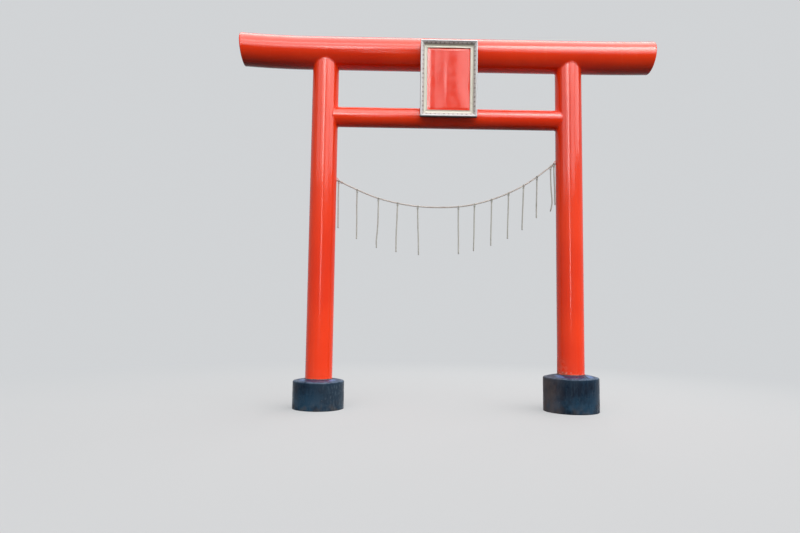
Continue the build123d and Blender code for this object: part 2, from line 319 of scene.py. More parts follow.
def footing_paint():
    """Blue-black paint on trowelled concrete, with a worn wall, a painted highlight on the wall under the
    rim and along the rim, a painted sky reflection on the crown, earth and dust.
    """
    p = Paint("footing_paint")
    x, y, z = p.split(p.place)
    on_right, from_axis = gate_half(p, x)
    on_left = p.math("SUBTRACT", 1, on_right)
    over_rim = height_over(p, z, on_right, LEFT_RIM_Z, RIGHT_RIM_Z)
    dark = (0.0010, 0.0085, 0.022)
    faded = (0.010, 0.032, 0.062)
    bluish = (0.016, 0.055, 0.100)
    bleached = (0.026, 0.046, 0.070)
    scuffed = (0.055, 0.085, 0.115)
    # The next three colours are painted light: a sky reflection on the crown, a brighter one beside the
    # pillar, and a highlight along the rim's edge
    crown = (0.011, 0.031, 0.088)
    chalky = (0.110, 0.200, 0.420)
    rim_highlight_color = (0.11, 0.17, 0.26)
    earth = (0.105, 0.080, 0.060)
    dust = (0.120, 0.098, 0.094)
    bare = (0.22, 0.21, 0.19)

    # The wall: brush streaks, a bluer foot, and the left drum paler and scuffed on its side towards the
    # gate's middle
    streaks = p.noise(0.022, 4, place=p.scaled((1, 1, 0.10)))
    color = p.mix(p.ramp(streaks, 0.44, 0.80, 0.0, 0.75), dark, faded)
    low = p.product(p.ramp(p.noise(0.12, 3), 0.38, 0.62), p.ramp(z, 0.20, 0.04, 0.25, 0.8))
    color = p.mix(low, color, bluish)
    paler_toward_middle = p.product(p.ramp(from_axis, -0.08, 0.16, 0.0, 0.65), on_left)
    color = p.mix(paler_toward_middle, color, bleached)
    scuffs = p.noise(0.012, 4, place=p.scaled((1, 1, 0.32)))
    rough_side = p.product(p.ramp(from_axis, 0.03, 0.13), on_left)
    scuff_share = p.ramp(rough_side, 0, 1, 0.16, 0.9)
    color = p.mix(p.product(p.ramp(scuffs, 0.50, 0.66), scuff_share), color, scuffed)

    # The rim and the crown, painted light: a painted highlight on the wall just under the rim, a painted
    # bluish sky reflection on the crown, a brighter painted reflection beside the pillar, and a painted
    # highlight along the rim's edge
    color = p.mix(p.ramp(over_rim, -0.045, -0.005, 0.0, 0.55), color, faded)
    color = p.mix(p.ramp(over_rim, -0.008, 0.002, 0.0, 0.85), color, crown)
    off_axis = p.math("ABSOLUTE", from_axis)
    on_front = p.ramp(y, -0.02, -0.05)
    sky_reflection_beside_pillar = p.product(p.ramp(off_axis, 0.085, 0.105), p.ramp(off_axis, 0.155, 0.130), on_front)
    color = p.mix(p.product(sky_reflection_beside_pillar, p.ramp(over_rim, 0.0, 0.006), 0.8), color, chalky)
    rim_highlight_band = p.product(p.ramp(over_rim, -0.012, -0.003), p.ramp(over_rim, 0.006, 0.001))
    color = p.mix(p.product(rim_highlight_band, p.ramp(p.noise(0.03, 4), 0.3, 0.6), 0.6), color, rim_highlight_color)

    # Splashed earth at the foot, dust on the right drum's inner side, and small chips
    splashed = p.product(p.ramp(z, 0.09, 0.0), p.ramp(p.noise(0.05, 5), 0.44, 0.66))
    color = p.mix(p.product(splashed, p.ramp(on_right, 0, 1, 0.38, 0.25)), color, earth)
    dusty_side = p.product(on_right, p.ramp(from_axis, -0.09, -0.21))
    dust_share = p.math("MULTIPLY_ADD", dusty_side, 0.95, 0.02)
    dusty = p.product(p.ramp(p.noise(0.08, 4), 0.30, 0.62, 0.45, 1), dust_share)
    color = p.mix(p.product(dusty, 0.75), color, dust)
    chips = p.ramp(p.noise(0.008, 3), 0.73, 0.75, 0, 0.8)
    color = p.mix(chips, color, bare)

    # A half-matt skin that shows the brush and the concrete's pits
    even = p.ramp(p.noise(0.05, 4), 0.3, 0.7, 0.24, 0.42)
    roughness = p.math("MULTIPLY_ADD", p.math("MAXIMUM", splashed, dusty), 0.35, even)
    pits = p.bump(p.noise(0.005, 4), 0.0006)
    normal = p.bump(streaks, 0.0014, normal=pits)
    return p.finish(color, roughness, normal, Specular_IOR_Level=0.12)


# The plaque's own leaning plane
plaque_out = Vector((0, -math.cos(PLAQUE_LEAN), -math.sin(PLAQUE_LEAN)))
plaque_up = Vector((0, -math.sin(PLAQUE_LEAN), math.cos(PLAQUE_LEAN)))
plaque_back_y = -(LINTEL_R + PLAQUE_STANDOFF) + (LINTEL_Z - PLAQUE_BOTTOM) * math.tan(PLAQUE_LEAN)
plaque_foot = Vector((0, plaque_back_y, PLAQUE_BOTTOM))


def on_plaque(x, up, out):
    """Point on the plaque: across from its middle, up from its foot, out from its back."""
    return plaque_foot + Vector((x, 0, 0)) + plaque_up * up + plaque_out * out


def plaque_place(p):
    """Coordinates on the plaque: across, out of its face, and up from its middle."""
    middle = on_plaque(0, PLAQUE_H / 2, 0)
    moved = p.node("ShaderNodeVectorMath", operation="SUBTRACT")
    p.link(p.place, moved.inputs[0])
    moved.inputs[1].default_value = middle
    turned = p.node("ShaderNodeVectorRotate", rotation_type="X_AXIS")
    turned.inputs["Angle"].default_value = -PLAQUE_LEAN
    p.link(moved.outputs[0], turned.inputs["Vector"])
    return turned.outputs[0]


def leaf_steps(length):
    """Clear length of a frame member's carving, and how many leaf pitches it holds."""
    clear = length - LIP_W - COVE_END - LEAF_PITCH / 2
    return clear, round(clear / LEAF_PITCH)


def frame_paint():
    """Silver-white paint: bluish on the lip, with the carving's shade painted in spots and patches on the
    cove, cream on the bead, the outer sides near black as painted shade, and grime on the miters and in
    loose patches.
    """
    p = Paint("frame_paint")
    x, _, z = p.split(plaque_place(p))
    across = p.math("SUBTRACT", PLAQUE_W / 2, p.math("ABSOLUTE", x))
    upward = p.math("SUBTRACT", PLAQUE_H / 2, p.math("ABSOLUTE", z))
    inward = p.math("MINIMUM", across, upward)
    lip = (0.62, 0.64, 0.66)
    bead = (0.60, 0.57, 0.47)
    cove = (0.52, 0.49, 0.47)
    grime_and_shade = (0.14, 0.105, 0.095)
    # Near black on the frame's outer sides: painted shade
    side = (0.030, 0.022, 0.018)

    # The moulding's bands, from the outer side inward; the outer sides near black are painted shade
    blend = 1 * MM
    color = p.mix(p.ramp(inward, 0.3 * MM, 0.8 * MM), side, lip)
    color = p.mix(p.ramp(inward, LIP_W - blend, LIP_W + blend), color, cove)
    color = p.mix(p.ramp(inward, COVE_END - blend, COVE_END + blend), color, bead)

    # Painted shade of the carving: dark spots between the leaves and darker patches along the cove. Grime
    # along the miters and in loose patches
    hollows = []
    for along, length in ((x, PLAQUE_W), (z, PLAQUE_H)):
        clear, count = leaf_steps(length)
        turns = p.math("MULTIPLY_ADD", along, 2 * math.pi * count / clear, math.pi * count)
        hollows.append(p.ramp(p.math("COSINE", turns), -0.15, -0.85))
    on_rail, on_stile = hollows
    hollow = p.mix(p.math("LESS_THAN", across, upward), on_rail, on_stile)
    past_lip = p.ramp(inward, LIP_W + blend, LIP_W + 5 * MM)
    in_cove = p.product(past_lip, p.ramp(inward, COVE_END, COVE_END - 5 * MM))
    patchy_carving_shade = p.ramp(p.noise(0.005, 4), 0.42, 0.62, 0.0, 0.55)
    carving_shade = p.product(hollow, p.ramp(p.noise(0.013, 3), 0.35, 0.6, 0.1, 0.8))
    color = p.mix(p.product(in_cove, p.math("ADD", carving_shade, patchy_carving_shade)), color, grime_and_shade)
    miter = p.math("ABSOLUTE", p.math("SUBTRACT", across, upward))
    color = p.mix(p.ramp(miter, 1.6 * MM, 0.4 * MM, 0.0, 0.8), color, grime_and_shade)
    color = p.mix(p.ramp(p.noise(0.04, 5), 0.56, 0.8, 0.0, 0.3), color, grime_and_shade)
    roughness = p.ramp(p.noise(0.02, 3), 0.3, 0.7, 0.32, 0.5)
    return p.finish(color, roughness, p.bump(p.noise(0.004, 3), 0.0003), Specular_IOR_Level=0.4)


def carving_paint():
    """The frame's paint on the leaves, pale with dark patches of dirt."""
    p = Paint("carving_paint")
    pale = (0.55, 0.54, 0.54)
    dirty = (0.17, 0.13, 0.12)
    patches = p.ramp(p.noise(0.009, 3), 0.44, 0.60)
    color = p.mix(patches, pale, dirty)
    roughness = p.ramp(patches, 0, 1, 0.35, 0.6)
    return p.finish(color, roughness, p.bump(p.noise(0.003, 3), 0.0004), Specular_IOR_Level=0.4)


def panel_enamel():
    """Red gloss enamel on thin sheet, a little chalky where the weather reaches it."""
    p = Paint("panel_enamel")
    fresh = (0.94, 0.040, 0.010)
    deep = (0.86, 0.030, 0.006)
    chalky = (0.90, 0.13, 0.08)
    color = p.mix(p.ramp(p.noise(0.25, 3), 0.35, 0.7), fresh, deep)
    streaks = p.noise(0.03, 4, place=p.scaled((1, 1, 0.15)))
    color = p.mix(p.ramp(streaks, 0.6, 0.85, 0, 0.3), color, chalky)
    roughness = p.ramp(p.noise(0.05, 3), 0.3, 0.7, 0.10, 0.18)
    return p.finish(color, roughness, p.bump(p.noise(0.003, 2), 0.0001), Specular_IOR_Level=0.42)


def board_wood():
    """Weathered plywood: long grain, and damp in patches."""
    p = Paint("board_wood")
    brown = (0.20, 0.13, 0.075)
    pale = (0.33, 0.24, 0.15)
    damp = (0.10, 0.08, 0.06)
    grain = p.noise(0.006, 6, place=p.scaled((1, 1, 0.06)), distortion=0.6)
    color = p.mix(p.ramp(grain, 0.35, 0.65), brown, pale)
    color = p.mix(p.ramp(p.noise(0.12, 4), 0.5, 0.75, 0.0, 0.7), color, damp)
    return p.finish(color, p.ramp(grain, 0.3, 0.7, 0.6, 0.85), p.bump(grain, 0.0008))


def steel(name, color, rust):
    """Painted or plated steel, with rust from 0 to 1 where the finish has gone."""
    p = Paint(name)
    rusty = (0.16, 0.055, 0.02)
    patches = p.ramp(p.noise(0.012, 5), 0.56, 0.66, 0, rust)
    shade = p.mix(patches, color, rusty)
    even = p.ramp(p.noise(0.02, 3), 0.3, 0.7, 0.25, 0.4)
    roughness = p.math("MULTIPLY_ADD", patches, 0.35, even)
    return p.finish(shade, roughness, p.bump(p.noise(0.004, 3), 0.0003))


def fibre(name, pale, dark, stain):
    """Twisted plant or cotton fibre, greyed by weather."""
    p = Paint(name)
    fine = p.noise(0.0014, 4)
    color = p.mix(p.ramp(fine, 0.35, 0.7), dark, pale)
    color = p.mix(p.ramp(p.noise(0.09, 4), 0.5, 0.75, 0.0, 0.6), color, stain)
    return p.finish(color, p.ramp(fine, 0.2, 0.8, 0.75, 0.95), p.bump(fine, 0.0006), Sheen_Weight=0.3)


def seal_filler():
    """Dark filler with dirt in it."""
    p = Paint("seal")
    tar = (0.02, 0.022, 0.025)
    dirt = (0.10, 0.075, 0.055)
    color = p.mix(p.ramp(p.noise(0.012, 4), 0.4, 0.65), tar, dirt)
    return p.finish(color, 0.7, p.bump(p.noise(0.004, 4), 0.001))


VERMILION = vermilion_paint()
BLACK = footing_paint()
SILVER = frame_paint()
CARVING = carving_paint()
ENAMEL = panel_enamel()
WOOD = board_wood()
BRACKET = steel("bracket_steel", color=(0.60, 0.06, 0.025), rust=0.8)
BOLT = steel("bolt_steel", color=(0.42, 0.42, 0.42), rust=0.6)
ROPE = fibre("rope_fibre", pale=(0.80, 0.77, 0.72), dark=(0.40, 0.32, 0.27), stain=(0.40, 0.29, 0.24))
STRAW = fibre("straw", pale=(0.56, 0.57, 0.52), dark=(0.27, 0.26, 0.23), stain=(0.28, 0.29, 0.23))
SEAL = seal_filler()

# Looks of the solids that are seen as they are, or that a finer piece replaces
CAD_LOOKS = {
    VERMILION: [
        "left_pillar",
        "right_pillar",
        "top_lintel",
        "left_lintel_cap",
        "right_lintel_cap",
        "tie_beam",
    ],
    BLACK: ["left_footing", "right_footing"],
    SILVER: ["plaque_top_rail", "plaque_bottom_rail", "plaque_left_stile", "plaque_right_stile"],
    WOOD: ["plaque_back_board"],
    BRACKET: [
        "upper_left_plaque_bracket",
        "upper_right_plaque_bracket",
        "lower_left_plaque_bracket",
        "lower_right_plaque_bracket",
        "left_rope_staple",
        "right_rope_staple",
    ],
}
for look, nodes in CAD_LOOKS.items():
    for node in nodes:
        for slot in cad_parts[node].material_slots:
            slot.material = look


# Mesh helpers
ROUTE_RESOLUTION = 24
ROUTE_ORDER = 3
NO_LENGTH = 1e-9
LOOP_STEPS = 220


def piece(name, vertices, faces, material, smooth=True):
    """A mesh piece that rides on the gate."""
    mesh = bpy.data.meshes.new(name)
    mesh.from_pydata([tuple(v) for v in vertices], [], faces)
    mesh.validate()
    mesh.polygons.foreach_set("use_smooth", [smooth] * len(mesh.polygons))
    mesh.materials.append(material)
    made = bpy.data.objects.new(name, mesh)
    bpy.context.collection.objects.link(made)
    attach(made, "root")
    return made


def frames_along(points, closed=False):
    """Tangent and two side directions at each point, turning as little as they can."""
    count = len(points)
    found = []
    side = None
    for i, point in enumerate(points):
        ahead = points[(i + 1) % count] if closed else points[min(i + 1, count - 1)]
        behind = points[i - 1] if closed or i else points[0]
        tangent = (ahead - behind).normalized()
        if side is None:
            side = tangent.orthogonal().normalized()
        side = (side - tangent * side.dot(tangent)).normalized()
        found.append((tangent, side, tangent.cross(side)))
    return found


def add_tube(vertices, faces, points, radius, sides, closed):
    """Adds a tube along the points. radius is a length, or a function of the point's number."""
    base = len(vertices)
    count = len(points)
    for i, (point, (tangent, side, other)) in enumerate(zip(points, frames_along(points, closed))):
        r = radius(i) if callable(radius) else radius
        for k in range(sides):
            turn = 2 * math.pi * k / sides
            vertices.append(point + r * (math.cos(turn) * side + math.sin(turn) * other))
    for i in range(count if closed else count - 1):
        for k in range(sides):
            a = base + i * sides + k
            b = base + i * sides + (k + 1) % sides
            c = base + (i + 1) % count * sides + (k + 1) % sides
            d = base + (i + 1) % count * sides + k
            faces.append((a, b, c, d))
    if not closed:
        faces.append(tuple(base + k for k in reversed(range(sides))))
        faces.append(tuple(base + (count - 1) * sides + k for k in range(sides)))


def tube_piece(name, tubes, material, sides=8, closed=False):
    """A piece made of tubes, each given by its points and its radius."""
    vertices = []
    faces = []
    for points, radius in tubes:
        add_tube(vertices, faces, points, radius, sides, closed)
    return piece(name, vertices, faces, material)


def even_points(raw, spacing):
    """The line through raw, walked in equal steps of about spacing."""
    lengths = [0.0]
    for a, b in zip(raw, raw[1:]):
        lengths.append(lengths[-1] + (b - a).length)
    steps = max(2, round(lengths[-1] / spacing))
    points = []
    at = 0
    for i in range(steps + 1):
        goal = lengths[-1] * i / steps
        while at < len(raw) - 2 and lengths[at + 1] < goal:
            at += 1
        share = (goal - lengths[at]) / max(lengths[at + 1] - lengths[at], NO_LENGTH)
        points.append(raw[at].lerp(raw[at + 1], min(share, 1)))
    return points


def spline_points(route, spacing):
    """Points about spacing apart on the smooth curve that a route's points steer."""
    curve = bpy.data.curves.new("route", "CURVE")
    curve.dimensions = "3D"
    curve.resolution_u = ROUTE_RESOLUTION
    spline = curve.splines.new("NURBS")
    spline.points.add(len(route) - 1)
    for target, (x, z) in zip(spline.points, route):
        target.co = (x * MM, 0, z * MM, 1)
    spline.order_u = ROUTE_ORDER
    spline.use_endpoint_u = True
    holder = bpy.data.objects.new("route", curve)
    line = bpy.data.meshes.new_from_object(holder)
    raw = [v.co.copy() for v in line.vertices]
    bpy.data.meshes.remove(line)
    bpy.data.objects.remove(holder)
    bpy.data.curves.remove(curve)
    return even_points(raw, spacing)


def path_length(points):
    """Length of the line through the points."""
    return sum((b - a).length for a, b in zip(points, points[1:]))


def coil(turns, turn_steps, place):
    """Points of a coil. place(turn, share) gives one from its angle and its share of the way."""
    steps = turns * turn_steps
    return [place(2 * math.pi * turns * i / steps, i / steps) for i in range(steps + 1)]


def loop(place):
    """Points of a closed line. place(turn) gives the one at an angle."""
    return [place(2 * math.pi * i / LOOP_STEPS) for i in range(LOOP_STEPS)]


# Twisted cords: plies that may stray from an even twist, in reach and in turn
REACH_RATE = 30
TURN_RATE = 9
TURN_SHARE = 3
TURN_SEED = 4
PLY_SEED = 5.1


def laid_plies(points, plies, pitch, reach, radius, wander=0.0, seed=0):
    """Tubes of the plies twisted round a line of points; wander is the share by which they stray."""
    tubes = []
    step = path_length(points) / (len(points) - 1)
    sides = frames_along(points)
    for ply in range(plies):
        line = []
        for i, (point, (_, side, other)) in enumerate(zip(points, sides)):
            along = i * step
            loose = 1 + wander * noise.noise(Vector((along * REACH_RATE, ply * PLY_SEED, seed)))
            slip = wander * TURN_SHARE * noise.noise(Vector((along * TURN_RATE, ply, seed + TURN_SEED)))
            turn = 2 * math.pi * (along / pitch + ply / plies) + slip
            line.append(point + reach * loose * (math.cos(turn) * side + math.sin(turn) * other))
        tubes.append((line, radius))
    return tubes


def hang(node):
    """Hides the solid of a cord that a finer piece replaces."""
    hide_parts(node)


# Rope: three plies laid together
ROPE_STEP = 3 * MM
ROPE_PLIES = 3
ROPE_PITCH = 42 * MM
ROPE_REACH = 0.27 * ROPE_D
ROPE_PLY_R = 0.26 * ROPE_D

rope_points = spline_points(ROPE_ROUTE, ROPE_STEP)


def laid_rope():
    """The rope between the pillars."""
    tubes = laid_plies(rope_points, ROPE_PLIES, ROPE_PITCH, ROPE_REACH, ROPE_PLY_R)
    rope = tube_piece("laid_rope", tubes, ROPE)
    hang("rope")


laid_rope()

# Strands: loose twists of straw, some tighter than others
STRAW_STEP = 4 * MM
STRAW_PLIES = 5
STRAW_REACH = 3.1 * MM
STRAW_R = 2.6 * MM
STRAW_WANDER = 0.25
STRAW_PITCHES = (70 * MM, 82 * MM, 94 * MM)


def straw_strand(number, route):
    """One strand down its route; gives the route's points, from the rope down."""
    points = spline_points(route, STRAW_STEP)
    pitch = STRAW_PITCHES[number % len(STRAW_PITCHES)]
    tubes = laid_plies(points, STRAW_PLIES, pitch, STRAW_REACH, STRAW_R, STRAW_WANDER, number)
    strand = tube_piece(f"straw_strand_{number:02d}", tubes, STRAW)
    hang(f"strand_{number:02d}")
    return points


strand_lines = [straw_strand(number, route) for number, route in enumerate(STRAND_ROUTES, start=1)]

# Hitches: each strand's upper end taken twice round the rope and bound under it
HITCH_CORD_R = 2.2 * MM
HITCH_R = ROPE_D / 2 + 0.8 * HITCH_CORD_R
HITCH_TURNS = 2
HITCH_TURN_STEPS = 22
HITCH_WIDTH = 3.6 * HITCH_CORD_R
TAIL_X = 1.5 * MM
TAIL_DROP = 12 * MM
BINDING_CORD_R = 0.8 * HITCH_CORD_R
BINDING_R = STRAW_REACH + STRAW_R + 0.3 * HITCH_CORD_R
BINDING_TURNS = 3
BINDING_TURN_STEPS = 16
BINDING_TOP = 4 * MM
BINDING_LENGTH = 10 * MM


def rope_at(x):
    """The rope's middle line above x, and its direction there."""
    after = next(i for i, point in enumerate(rope_points) if point.x >= x or i == len(rope_points) - 1)
    after = max(after, 1)
    return rope_points[after], (rope_points[after] - rope_points[after - 1]).normalized()


def hitch(number, top):
    """A strand's end round the rope, both its tails under the rope, and the cord that binds them."""
    middle, along = rope_at(top.x)
    below = Vector((along.z, 0, -along.x))

    def round_rope(turn, share):
        across = math.cos(turn) * below + math.sin(turn) * FRONT
        return middle + along * (share - 0.5) * HITCH_WIDTH + across * HITCH_R

    def round_strand(turn, share):
        twist = turn + number
        drop = BINDING_TOP + BINDING_LENGTH * share
        return top + Vector((BINDING_R * math.cos(twist), BINDING_R * math.sin(twist), -drop))

    line = coil(HITCH_TURNS, HITCH_TURN_STEPS, round_rope)
    line.insert(0, top + Vector((-TAIL_X, 0, -TAIL_DROP)))
    line.append(top + Vector((TAIL_X, 0, -TAIL_DROP)))
    binding = coil(BINDING_TURNS, BINDING_TURN_STEPS, round_strand)
    tubes = [(line, HITCH_CORD_R), (binding, BINDING_CORD_R)]
    tube_piece(f"hitch_{number:02d}", tubes, STRAW)


for number, line in enumerate(strand_lines, start=1):
    hitch(number, line[0])

# Rope ends: an eye round each staple, whipped together beside it
EYE_CORD_R = 4.6 * MM
EYE_LENGTH = 7.75 * MM
EYE_WIDTH = 7.44 * MM
EYE_STEPS = 14
EYE_START = math.radians(21.6)
EYE_SWEEP = math.radians(316.8)
THROAT_REACH = 26 * MM
THROAT_GAP = 3 * MM
WHIPPING_CORD_R = 1.6 * MM
WHIPPING_R = ROPE_D / 2 + 2.6 * MM
WHIPPING_TURNS = 5
WHIPPING_TURN_STEPS = 14
WHIPPING_START = -3 * MM
WHIPPING_LENGTH = WHIPPING_TURNS * 2.1 * WHIPPING_CORD_R
END_POINTS = 6


def rope_end(name, side, staple_z, points):
    """An eye through the staple at the rope's first point, closed by turns of thin cord on the rope."""
    inward = (points[END_POINTS] - points[0]).normalized()
    above = FRONT.cross(inward)
    centre = Vector((side * (PILLAR_X - PILLAR_R), 0, staple_z)) + inward * STAPLE_REACH
    throat = points[0] + inward * THROAT_REACH

    def round_rope(turn, share):
        across = math.cos(turn) * above - math.sin(turn) * FRONT
        return throat + inward * (WHIPPING_START + WHIPPING_LENGTH * share) + across * WHIPPING_R

    line = [throat + FRONT * THROAT_GAP]
    for i in range(EYE_STEPS + 1):
        turn = EYE_START + EYE_SWEEP * i / EYE_STEPS
        line.append(centre + inward * math.cos(turn) * EYE_LENGTH + FRONT * math.sin(turn) * EYE_WIDTH)
    line.append(throat - FRONT * THROAT_GAP)
    whipping = coil(WHIPPING_TURNS, WHIPPING_TURN_STEPS, round_rope)
    tube_piece(name, [(line, EYE_CORD_R), (whipping, WHIPPING_CORD_R)], ROPE)


rope_end("left_rope_eye", -1, LEFT_STAPLE_Z, rope_points)
rope_end("right_rope_eye", 1, RIGHT_STAPLE_Z, rope_points[::-1])

# Welds: beads along the lines where one pipe is cut to another
BEAD_R = 4.2 * MM
BEAD_SIDES = 10
RIPPLE = 0.16
RIPPLE_RATE = 1.9
BEAD_LUMP = 0.2
BEAD_LUMP_RATE = 0.31


def weld_bead(name, line):
    """A bead along a closed line, with an even ripple and uneven lumps."""

    def ripple(i):
        lump = noise.noise(Vector((i * BEAD_LUMP_RATE, 0, 0)))
        return BEAD_R * (1 + RIPPLE * math.sin(i * RIPPLE_RATE) + BEAD_LUMP * lump)

    tube_piece(name, [(line, ripple)], VERMILION, sides=BEAD_SIDES, closed=True)


def pillar_top_line(side):
    """Where a pillar's head meets the lintel."""

    def place(turn):
        y = PILLAR_R * math.sin(turn)
        z = LINTEL_Z - math.sqrt(LINTEL_R**2 - y**2)
        return Vector((side * PILLAR_X + PILLAR_R * math.cos(turn), y, z))

    return loop(place)


def tie_end_line(side):
    """Where the tie beam's end meets a pillar."""

    def place(turn):
        y = TIE_R * math.cos(turn)
        x = side * (PILLAR_X - math.sqrt(PILLAR_R**2 - y**2))
        return Vector((x, y, TIE_Z + TIE_R * math.sin(turn)))

    return loop(place)


for side_name, side in (("left", -1), ("right", 1)):
    weld_bead(f"{side_name}_lintel_weld", pillar_top_line(side))
    weld_bead(f"{side_name}_tie_weld", tie_end_line(side))

# Footings: cast drums with hand-trowelled walls and a worn rim
DRUM_COLUMNS = 300
DRUM_RIM_R = 12 * MM
WALL_ROWS = 30
RIM_ROWS = 8
CROWN_ROWS = 14
SEAT_OVERLAP = 3 * MM
MEAN_WEAR = 0.9 * MM
FLUTE_DEPTH = 0.6 * MM
FLUTE_RATE = 12
FLUTE_RISE = 3
LUMP_DEPTH = 1.1 * MM
LUMP_RATE = 2.2
LUMP_RISE = 7
DRUM_SEED = 9


def drum_profile(radius, crown_z, fall):
    """Points (r, z) up the wall, round the rim and up the crown to the pillar."""
    rim_z = crown_z - fall
    wall_top = rim_z - DRUM_RIM_R
    wall = [(radius, wall_top * i / WALL_ROWS) for i in range(WALL_ROWS)]
    inner = radius - DRUM_RIM_R
    rim = []
    for i in range(RIM_ROWS + 1):
        turn = math.pi / 2 * i / RIM_ROWS
        rim.append((inner + DRUM_RIM_R * math.cos(turn), wall_top + DRUM_RIM_R * math.sin(turn)))
    seat = PILLAR_R - SEAT_OVERLAP
    crown = []
    for i in range(1, CROWN_ROWS + 1):
        share = i / CROWN_ROWS
        crown.append((inner + (seat - inner) * share, rim_z + fall * math.sin(math.pi / 2 * share)))
    return wall + rim + crown


def drum_wear(turn, z, seed):
    """How far the surface is worn in at an angle and height: shallow flutes and lumps."""
    around = Vector((math.cos(turn), math.sin(turn), 0))
    flutes = noise.noise(around * FLUTE_RATE + Vector((0, 0, z * FLUTE_RISE + seed)))
    lumps = noise.noise(around * LUMP_RATE + Vector((0, 0, z * LUMP_RISE + seed)))
    return max(0, MEAN_WEAR + FLUTE_DEPTH * flutes + LUMP_DEPTH * lumps)


def footing_drum(name, side, radius, crown_z, fall, node):
    """One footing, worn in at its wall, and down too from its rim inward."""
    profile = drum_profile(radius, crown_z, fall)
    wall_top = crown_z - fall - DRUM_RIM_R
    rows = len(profile)
    vertices = []
    faces = []
    for k in range(DRUM_COLUMNS):
        turn = 2 * math.pi * k / DRUM_COLUMNS
        for r, z in profile:
            worn = drum_wear(turn, z, side * DRUM_SEED)
            reach = r - worn
            x = side * PILLAR_X + reach * math.cos(turn)
            drop = worn if z > wall_top else 0
            vertices.append(Vector((x, reach * math.sin(turn), z - drop)))
        here = k * rows
        there = (k + 1) % DRUM_COLUMNS * rows
        for i in range(rows - 1):
            faces.append((here + i, there + i, there + i + 1, here + i + 1))
    faces.append(tuple(k * rows for k in reversed(range(DRUM_COLUMNS))))
    drum = piece(name, vertices, faces, BLACK)
    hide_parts(node)


footing_drum("left_drum", -1, LEFT_FOOTING_R, LEFT_CROWN_Z, LEFT_CROWN_FALL, "left_footing")
footing_drum("right_drum", 1, RIGHT_FOOTING_R, RIGHT_CROWN_Z, RIGHT_CROWN_FALL, "right_footing")

# Seals: dark filler with dirt round each pillar, where it enters its footing
SEAL_GAP = 1.5 * MM
SEAL_STRAY = 2 * MM
SEAL_STRAY_RATE = 3
SEAL_R = 4 * MM
SEAL_LUMP = 2.5 * MM
SEAL_LUMP_RATE = 0.11
SEAL_SEED = 3


def seal(name, side, crown_z):
    """A ring of filler that strays and swells a little on its way round."""

    def place(turn):
        around = Vector((math.cos(turn), math.sin(turn), 0))
        stray = noise.noise(around * SEAL_STRAY_RATE + Vector((0, 0, side)))
        reach = PILLAR_R + SEAL_GAP + SEAL_STRAY * stray
        return Vector((side * PILLAR_X, 0, crown_z)) + around * reach

    def lump(i):
        return SEAL_R + SEAL_LUMP * noise.noise(Vector((i * SEAL_LUMP_RATE, side * SEAL_SEED, 0)))

    tube_piece(name, [(loop(place), lump)], SEAL, closed=True)


seal("left_seal", -1, LEFT_CROWN_Z)
seal("right_seal", 1, RIGHT_CROWN_Z)

# Plaque sheet: thin metal that bellies and ripples between the frame's members
BOARD_T = 7 * MM
SHEET_T = 2 * MM
REBATE_W = 12.5 * MM
SHEET_PLAY = 1 * MM
SHEET_COVER = REBATE_W - SHEET_PLAY
SHEET_MARGIN = FRAME_W - SHEET_COVER
SHEET_W = PLAQUE_W - 2 * SHEET_MARGIN
SHEET_H = PLAQUE_H - 2 * SHEET_MARGIN
SHEET_COLUMNS = 80
SHEET_ROWS = 110
SIDE_STEEPNESS = 18
END_STEEPNESS = 30


def ridge(u, middle, width):
    """A smooth bump, 1 high at its middle and gone at its width to either side."""
    t = abs(u - middle) / width
    return (1 - t * t) ** 2 if t < 1 else 0


def rim_share(place, covered, steepness):
    """0 where the frame covers the sheet, and 1 a little way in from there; place runs from 0 to 1."""
    inward = min(place, 1 - place) - covered
    return min(1, max(0, steepness * inward))


def sheet_swell(u, v):
    """How far the sheet stands out at u across and v up, both from 0 to 1; nothing under the frame."""
    sides = rim_share(u, SHEET_COVER / SHEET_W, SIDE_STEEPNESS)
    ends = rim_share(v, SHEET_COVER / SHEET_H, END_STEEPNESS)
    belly = 3.6 * (1 - (2 * u - 1) ** 2)
    left_fold = 1.3 * ridge(u, 0.085, 0.12)
    crease = 0.6 * ridge(u, 0.45 + 0.02 * v, 0.06) * ridge(v, 0.45, 0.4)
    right_fold_u = 0.62 + 0.3 * max(0, 0.45 - v)
    right_fold = 1.7 * ridge(u, right_fold_u, 0.26) * min(1, 2.5 * v)
    low_fold = 1.8 * ridge(u, 0.6, 0.36) * ridge(v, 0.0, 0.45)
    low_corner = 2.8 * ridge(u, 0.92, 0.38) * ridge(v, 0.05, 0.3)
    dimple = -0.8 * ridge(u, 0.90, 0.14) * ridge(v, 0.38, 0.14)
    dent = -1.0 * ridge(u, 0.99, 0.12)
    ripple = 0.3 * noise.noise(Vector((u * 4, v * 2.2, 4)))
    folds = left_fold + crease + right_fold + low_fold + low_corner + dimple + dent
    return sides * ends * (belly + folds + ripple) * MM


def plaque_sheet():
    """The panel, 2 mm thick, lying on the board."""
    vertices = []
    faces = []
    for row in range(SHEET_ROWS + 1):
        for column in range(SHEET_COLUMNS + 1):
            u = column / SHEET_COLUMNS
            v = row / SHEET_ROWS
            out = BOARD_T + SHEET_T + sheet_swell(u, v)
            vertices.append(on_plaque((u - 0.5) * SHEET_W, SHEET_MARGIN + v * SHEET_H, out))
    for row in range(SHEET_ROWS):
        for column in range(SHEET_COLUMNS):
            a = row * (SHEET_COLUMNS + 1) + column
            faces.append((a, a + 1, a + SHEET_COLUMNS + 2, a + SHEET_COLUMNS + 1))
    sheet = piece("plaque_sheet", vertices, faces, ENAMEL)
    thick = sheet.modifiers.new("thickness", "SOLIDIFY")
    thick.thickness = SHEET_T
    thick.offset = -1
    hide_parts("plaque_panel")


plaque_sheet()


